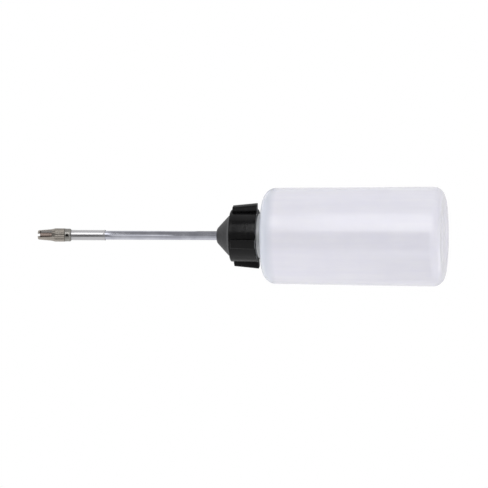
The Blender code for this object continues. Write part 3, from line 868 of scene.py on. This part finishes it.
for number in range(PIN_HOLE_COUNT):
    outwards = Matrix.Rotation(math.tau * number / PIN_HOLE_COUNT, 4, "Z")
    middle = Matrix.Translation((BODY_RADIUS * MM, 0, pin_height * MM))
    bmesh.ops.create_cone(
        pin_holes,
        cap_ends=True,
        segments=32,
        radius1=PIN_HOLE_RADIUS * MM,
        radius2=PIN_HOLE_RADIUS * MM,
        depth=2 * PIN_HOLE_DEPTH * MM,
        matrix=outwards @ middle @ Matrix.Rotation(math.pi / 2, 4, "Y"),
    )
cut(holder, new_piece("pin_holes", pin_holes))


def off_axis(tree, place):
    """How far each point of a surface lies from the axis."""
    across = add(tree, "VectorMath", [place, (1, 1, 0)], operation="MULTIPLY")
    return add(tree, "VectorMath", [across], out="Value", operation="LENGTH")


# Turned steel: grey and bright, with fine rings from the tool and painted shade, near black, in the
# pin holes. The rings are drawn 0.25 mm apart, coarser than real, so that they show.
TURNED_RING = 0.25
HOLE_SHADE_START = 0.45  # depths in a pin hole between which its painted shade begins
HOLE_SHADE_FULL = 0.5
UNSHADED_FRONT = 0.2  # behind the front face, where no hole reaches
turned_steel, tree = bare_material("steel_turned_bright")
place = add(tree, "TexCoord", {}, out="Object")
round_axis = add(tree, "VectorMath", [place, (0.03, 0.03, 1)], operation="MULTIPLY")
rings = add(tree, "TexNoise", {"Vector": round_axis, "Scale": 1 / (TURNED_RING * MM), "Detail": 2.0})
colour = add(tree, "Mix", [rings, linear("#878581"), linear("#9D9B96")], data_type="RGBA")
shade_start = (BODY_RADIUS - HOLE_SHADE_START) * MM
shade_full = (BODY_RADIUS - HOLE_SHADE_FULL) * MM
# painted shade: the pin holes are coloured near black, as shade falls in them
painted_hole_shade = add(tree, "MapRange", [off_axis(tree, place), shade_start, shade_full, 0.0, 1.0])
height = add(tree, "SeparateXYZ", [place], out="Z")
unshaded_start = (body_front - UNSHADED_FRONT) * MM
unshaded_full = (body_front - UNSHADED_FRONT / 2) * MM
on_stub = add(tree, "MapRange", [height, unshaded_start, unshaded_full, 0.0, 1.0])
painted_hole_shade = add(tree, "Math", [painted_hole_shade, on_stub], operation="SUBTRACT", use_clamp=True)
colour = add(tree, "Mix", [painted_hole_shade, colour, linear("#1C1916")], data_type="RGBA")
roughness = add(tree, "MapRange", [rings, *NOISE_SPAN, 0.1, 0.2])
bump = add(tree, "Bump", {"Strength": 0.25, "Distance": 0.01 * MM, "Height": rings})
shader = add(
    tree,
    "BsdfPrincipled",
    {"Base Color": colour, "Metallic": 1.0, "Roughness": roughness, "Normal": bump},
)
add(tree, "OutputMaterial", {"Surface": shader})
stands_for(holder, "nozzle_body", turned_steel)


# Jet tube
# Fine brass tube pressed into the nozzle body. It runs through the nose to just short of its end.

JET_RADIUS = 0.9
JET_BORE_RADIUS = 0.45
jet_low, jet_high = heights("jet_tube")
jet = turned(
    "jet",
    softened(
        [
            (JET_BORE_RADIUS, jet_low, 0.04),
            (JET_RADIUS, jet_low, 0.06),
            (JET_RADIUS, jet_high, 0.12),
            (JET_BORE_RADIUS, jet_high, 0.06),
        ]
    ),
    SMALL_TURN,
)

# Drawn brass with a brown film of old oil, darker in streaks along the tube.
OIL_STREAK = 0.5
oily_brass, tree = bare_material("brass_drawn_oily")
place = add(tree, "TexCoord", {}, out="Object")
along = add(tree, "VectorMath", [place, (1, 1, 0.2)], operation="MULTIPLY")
streaks = add(tree, "TexNoise", {"Vector": along, "Scale": 1 / (OIL_STREAK * MM), "Detail": 3.0})
colour = add(tree, "Mix", [streaks, linear("#80716A"), linear("#C2B0A6")], data_type="RGBA")
roughness = add(tree, "MapRange", [streaks, *NOISE_SPAN, 0.25, 0.45])
bump = add(tree, "Bump", {"Strength": 0.2, "Distance": 0.02 * MM, "Height": streaks})
bare = add(tree, "MapRange", [streaks, *NOISE_SPAN, 0.3, 0.8])
shader = add(
    tree,
    "BsdfPrincipled",
    {"Base Color": colour, "Metallic": bare, "Roughness": roughness, "Normal": bump},
)
add(tree, "OutputMaterial", {"Surface": shader})
stands_for(jet, "jet_tube", oily_brass)


# Tip washer
# Nitrile rubber ring inside the nozzle tip, which seals on the stub of the nozzle body.

TIP_WASHER_BORE_RADIUS = 1.05
tip_seal = seal_ring("tip_seal", "tip_washer", TIP_WASHER_BORE_RADIUS, STUB_RADIUS)
stands_for(tip_seal, "tip_washer", rubber)


# Nozzle tip
# Brass nose, turned, fluted for the fingers, slotted through both sides, notched across its end and
# then nickel plated. It screws on the nozzle body over the jet, which shows in the slots.

BAND_RADIUS = 2.5
BAND_LENGTH = 3.6
FLUTE_COUNT = 12
FLUTE_DEPTH = 0.15
FLUTE_STEPS = 12
TIP_SHOULDER_LENGTH = 1.6
NOSE_ROOT_RADIUS = 2.1
NOSE_END_RADIUS = 1.7
TIP_BORE_RADIUS = 1.05
COUNTERBORE_RADIUS = 1.55
COUNTERBORE_DEPTH = 3.1
SLOT_TURN = math.radians(15)  # from the front and the rear of the bottle
SLOT_WIDTH = 2.4
SLOT_LENGTH = 4.6
NOTCH_WIDTH = 0.9
NOTCH_DEPTH = 0.8
NOTCH_OVERCUT = 0.3  # past the end, and into the slot
CUTTER_REACH = 4 * BAND_RADIUS

tip_rear, tip_front = heights("nozzle_tip")
band_front = tip_rear + BAND_LENGTH
nose_root = band_front + TIP_SHOULDER_LENGTH


def tip_outline(angle):
    """From the rear edge up the fluted band and the nose, and back down the bore."""
    flute = FLUTE_DEPTH * (0.5 + 0.5 * math.cos(FLUTE_COUNT * angle))
    return softened(
        [
            (COUNTERBORE_RADIUS, tip_rear, 0.06),
            (BAND_RADIUS - flute, tip_rear, 0.12),
            (BAND_RADIUS - flute, band_front, 0.2),
            (NOSE_ROOT_RADIUS, nose_root, 0.5),
            (NOSE_END_RADIUS, tip_front, 0.4),
            (TIP_BORE_RADIUS, tip_front, 0.1),
            (TIP_BORE_RADIUS, tip_rear + COUNTERBORE_DEPTH, 0.05),
            (COUNTERBORE_RADIUS, tip_rear + COUNTERBORE_DEPTH, 0.05),
        ]
    )


tip = swept("tip", tip_outline, turn_angles(FLUTE_COUNT * FLUTE_STEPS))
notch_floor = tip_front - NOTCH_DEPTH
for name, turn, width, low, high in (
    ("slot", SLOT_TURN, SLOT_WIDTH, notch_floor - SLOT_LENGTH, notch_floor),
    ("notch", 0, NOTCH_WIDTH, notch_floor - NOTCH_OVERCUT, tip_front + NOTCH_OVERCUT),
):
    bm = bmesh.new()
    size = Matrix.Diagonal((width * MM, CUTTER_REACH * MM, (high - low) * MM, 1))
    middle = Matrix.Translation((0, 0, (low + high) / 2 * MM))
    bmesh.ops.create_cube(bm, size=1, matrix=middle @ Matrix.Rotation(turn, 4, "Z") @ size)
    cut(tip, new_piece(name, bm))

# Nickel plate over brass: a warm grey satin metal with duller and rubbed patches drawn out along it,
# and painted shade, dark brown, in the bore and on the walls of the slots. The satin's grain is drawn
# 0.4 mm across, coarser than real, so that it shows.
PLATE_PATCH = 0.8
PLATE_GRAIN = 0.4
SLOT_SHADE_START = 0.1  # depths under the end's radius between which the painted shade begins
SLOT_SHADE_FULL = 0.25
UNSHADED_END_START = 0.6  # distances from the end between which it stops
UNSHADED_END_FULL = 0.4
nickel, tree = bare_material("nickel_plate_satin")
place = add(tree, "TexCoord", {}, out="Object")
along = add(tree, "VectorMath", [place, (1, 1, 0.3)], operation="MULTIPLY")
patch = add(tree, "TexNoise", {"Vector": along, "Scale": 1 / (PLATE_PATCH * MM), "Detail": 3.0})
grain = add(tree, "TexNoise", {"Vector": place, "Scale": 1 / (PLATE_GRAIN * MM), "Detail": 2.0})
colour = add(tree, "Mix", [patch, linear("#857C75"), linear("#AEAAA2")], data_type="RGBA")
shade_start = (NOSE_END_RADIUS - SLOT_SHADE_START) * MM
shade_full = (NOSE_END_RADIUS - SLOT_SHADE_FULL) * MM
# painted shade: the bore and the slot walls are coloured dark, as shade falls in them
painted_bore_shade = add(tree, "MapRange", [off_axis(tree, place), shade_start, shade_full, 0.0, 1.0])
height = add(tree, "SeparateXYZ", [place], out="Z")
unshaded_start = (tip_front - UNSHADED_END_START) * MM
unshaded_full = (tip_front - UNSHADED_END_FULL) * MM
on_end = add(tree, "MapRange", [height, unshaded_start, unshaded_full, 0.0, 1.0])
painted_bore_shade = add(tree, "Math", [painted_bore_shade, on_end], operation="SUBTRACT", use_clamp=True)
colour = add(tree, "Mix", [painted_bore_shade, colour, linear("#4C433D")], data_type="RGBA")
roughness = add(tree, "MapRange", [patch, *NOISE_SPAN, 0.22, 0.34])
bump = add(tree, "Bump", {"Strength": 0.2, "Distance": 0.01 * MM, "Height": grain})
shader = add(
    tree,
    "BsdfPrincipled",
    {"Base Color": colour, "Metallic": 1.0, "Roughness": roughness, "Normal": bump},
)
add(tree, "OutputMaterial", {"Surface": shader})
stands_for(tip, "nozzle_tip", nickel)


# Studio
# A white tent with a soft lamp overhead. Round the object stand curved cards that only reflections
# see: bright softboxes, grey flags and fades that tone the rest of the tent down, and dark openings.
# The floor is pale paper that is clear from below and that reflections don't see.

TENT_LIGHT = 1.0  # on the object; what is seen of the tent is plain white at any light
TOP_LAMP_HEIGHT = 1.2  # metres, as the lamp's and the floor's sizes are
TOP_LAMP_SIZE = 1.0
TOP_LAMP_RADIANCE = 0.9
FLOOR_SIZE = 4.0
CARD_DISTANCE = 150.0
CARD_STEPS = 20
# Name, first and last angle from the front towards +X in degrees, lowest and highest point, radiance
CARDS = [
    ("bottle_softbox", 10.5, 51, -120, 71, 2.5),
    ("bottle_fade", 10.5, 51, 71, 86, 0.9),
    ("bottle_opening", -30, 10.5, -20, 86, 0.1),
    ("upper_rim_flag", 115, 168, 5, 84, 0.82),
    ("lower_rim_flag", -168, -115, 5, 84, 0.82),
    ("shoulder_opening", -40, 60, 178, 700, 0.3),
    ("heel_softbox", -172, -138, -330, -110, 1.7),
    ("heel_opening", 110, 172, -330, -100, 0.4),
    ("heel_flag", -115, -45, -20, 42, 0.3),
    ("collar_softbox", 18, 50, 86, 92.5, 7.5),
    ("collar_fade", 18, 50, 92.5, 103, 0.8),
    ("collar_opening", -30, 18, 86, 103, 0.35),
    ("collar_flag", 51, 70, 86, 103, 0.25),
    ("collar_fill", 70, 118, 84, 103, 0.85),
    ("upper_lug_flag", 118, 168, 84, 112, 0.4),
    ("lower_lug_flag", -168, -110, 84, 103, 0.6),
    ("tube_flag", 17, 112, 103, 145, 0.42),
    ("tube_strip", -12, 17, 121, 145, 1.1),
    ("tube_shade", -12, 17, 103, 121, 0.45),
    ("tube_fill", -65, -12, 103, 145, 0.72),
    ("sleeve_softbox", 17, 55, 145, 160.5, 2.6),
    ("sleeve_opening", -40, 15, 145, 160.5, 0.26),
    ("nozzle_softbox", 5, 45, 160.5, 178, 1.15),
    ("nozzle_flag", 45, 150, 160.5, 178, 0.6),
    ("nozzle_shade", -75, 5, 160.5, 178, 0.5),
    ("rear_opening", 168, 192, 5, 175, 0.1),
    ("base_flag", 115, 245, -100, 5, 0.66),
]


def staged(name, bm, finish):
    """A sheet that isn't part of the object."""
    sheet = new_piece(name, bm)
    sheet.data.materials.append(finish)
    return sheet


tent = bpy.data.worlds.new("tent")
tent.use_nodes = True
tree = tent.node_tree
tree.nodes.clear()
camera_ray = add(tree, "LightPath", {}, out="Is Camera Ray")
glossy_ray = add(tree, "LightPath", {}, out="Is Glossy Ray")
through_ray = add(tree, "LightPath", {}, out="Is Transmission Ray")
seen = add(tree, "Math", [camera_ray, glossy_ray], operation="MAXIMUM")
seen = add(tree, "Math", [seen, through_ray], operation="MAXIMUM")
strength = add(tree, "MapRange", [seen, 0.0, 1.0, TENT_LIGHT, 1.0])
white = add(tree, "Background", {"Color": (1, 1, 1, 1), "Strength": strength})
add(tree, "OutputWorld", {"Surface": white})
bpy.context.scene.world = tent

for name, first, last, low, high, radiance in CARDS:
    card, tree = bare_material(name)
    add(tree, "OutputMaterial", {"Surface": add(tree, "Emission", {"Strength": radiance})})
    bm = bmesh.new()
    edges = []
    for step in range(CARD_STEPS + 1):
        angle = math.radians(first + (last - first) * step / CARD_STEPS)
        outwards = Vector((math.sin(angle), -math.cos(angle), 0)) * CARD_DISTANCE
        edges.append([bm.verts.new((outwards + Vector((0, 0, z))) * MM) for z in (low, high)])
    for edge, following in zip(edges, edges[1:]):
        bm.faces.new((*edge, *following[::-1]))
    sheet = staged(name, bm, card)
    sheet.visible_camera = False
    sheet.visible_diffuse = False
    sheet.visible_transmission = False
    sheet.visible_shadow = False

top_lamp = bpy.data.lights.new("top_lamp", "AREA")
top_lamp.size = TOP_LAMP_SIZE
top_lamp.energy = TOP_LAMP_RADIANCE * math.pi * TOP_LAMP_SIZE**2
lamp = bpy.data.objects.new("top_lamp", top_lamp)
bpy.context.collection.objects.link(lamp)
lamp.location.z = TOP_LAMP_HEIGHT
lamp.visible_camera = False
lamp.visible_glossy = False

paper, tree = bare_material("paper_floor")
below = add(tree, "NewGeometry", {}, out="Backfacing")
sheet_white = add(tree, "BsdfDiffuse", {"Color": linear("#E6E6E6")})
clear = add(tree, "BsdfTransparent", {})
add(tree, "OutputMaterial", {"Surface": add(tree, "MixShader", [below, sheet_white, clear])})
bm = bmesh.new()
bmesh.ops.create_grid(bm, x_segments=1, y_segments=1, size=FLOOR_SIZE / 2)
floor = staged("floor", bm, paper)
floor.visible_shadow = False
floor.visible_diffuse = False
floor.visible_glossy = False

bpy.context.scene.view_settings.view_transform = "Standard"


# Camera
# The photograph looks at the bottle from the side and a little from below its base, with the nozzle
# to the left, so the camera is rolled a quarter turn. Its long lens flattens the perspective.

CAMERA_DISTANCE = 4.0  # metres
CAMERA_TILT = math.radians(7.5)
CAMERA_ROLL = math.radians(0.25)
FRAME_WIDTH = 178.8  # what the picture spans at the axis
AIM_HEIGHT = 73.87
AIM_SIDE = -3.01
FAR_CLIP = 10.0  # metres

lens = bpy.data.cameras.new("camera")
lens.lens = lens.sensor_width * CAMERA_DISTANCE / (FRAME_WIDTH * MM)
lens.clip_end = FAR_CLIP
camera = bpy.data.objects.new("camera", lens)
bpy.context.collection.objects.link(camera)
right = Vector((0, math.sin(CAMERA_TILT), -math.cos(CAMERA_TILT)))
back = Vector((0, -math.cos(CAMERA_TILT), -math.sin(CAMERA_TILT)))
facing = Matrix((right, Vector((1, 0, 0)), back)).transposed().to_4x4()
aim = Vector((AIM_SIDE, 0, AIM_HEIGHT)) * MM
camera.matrix_world = (
    Matrix.Translation(aim + back * CAMERA_DISTANCE) @ facing @ Matrix.Rotation(CAMERA_ROLL, 4, "Z")
)
bpy.context.scene.camera = camera
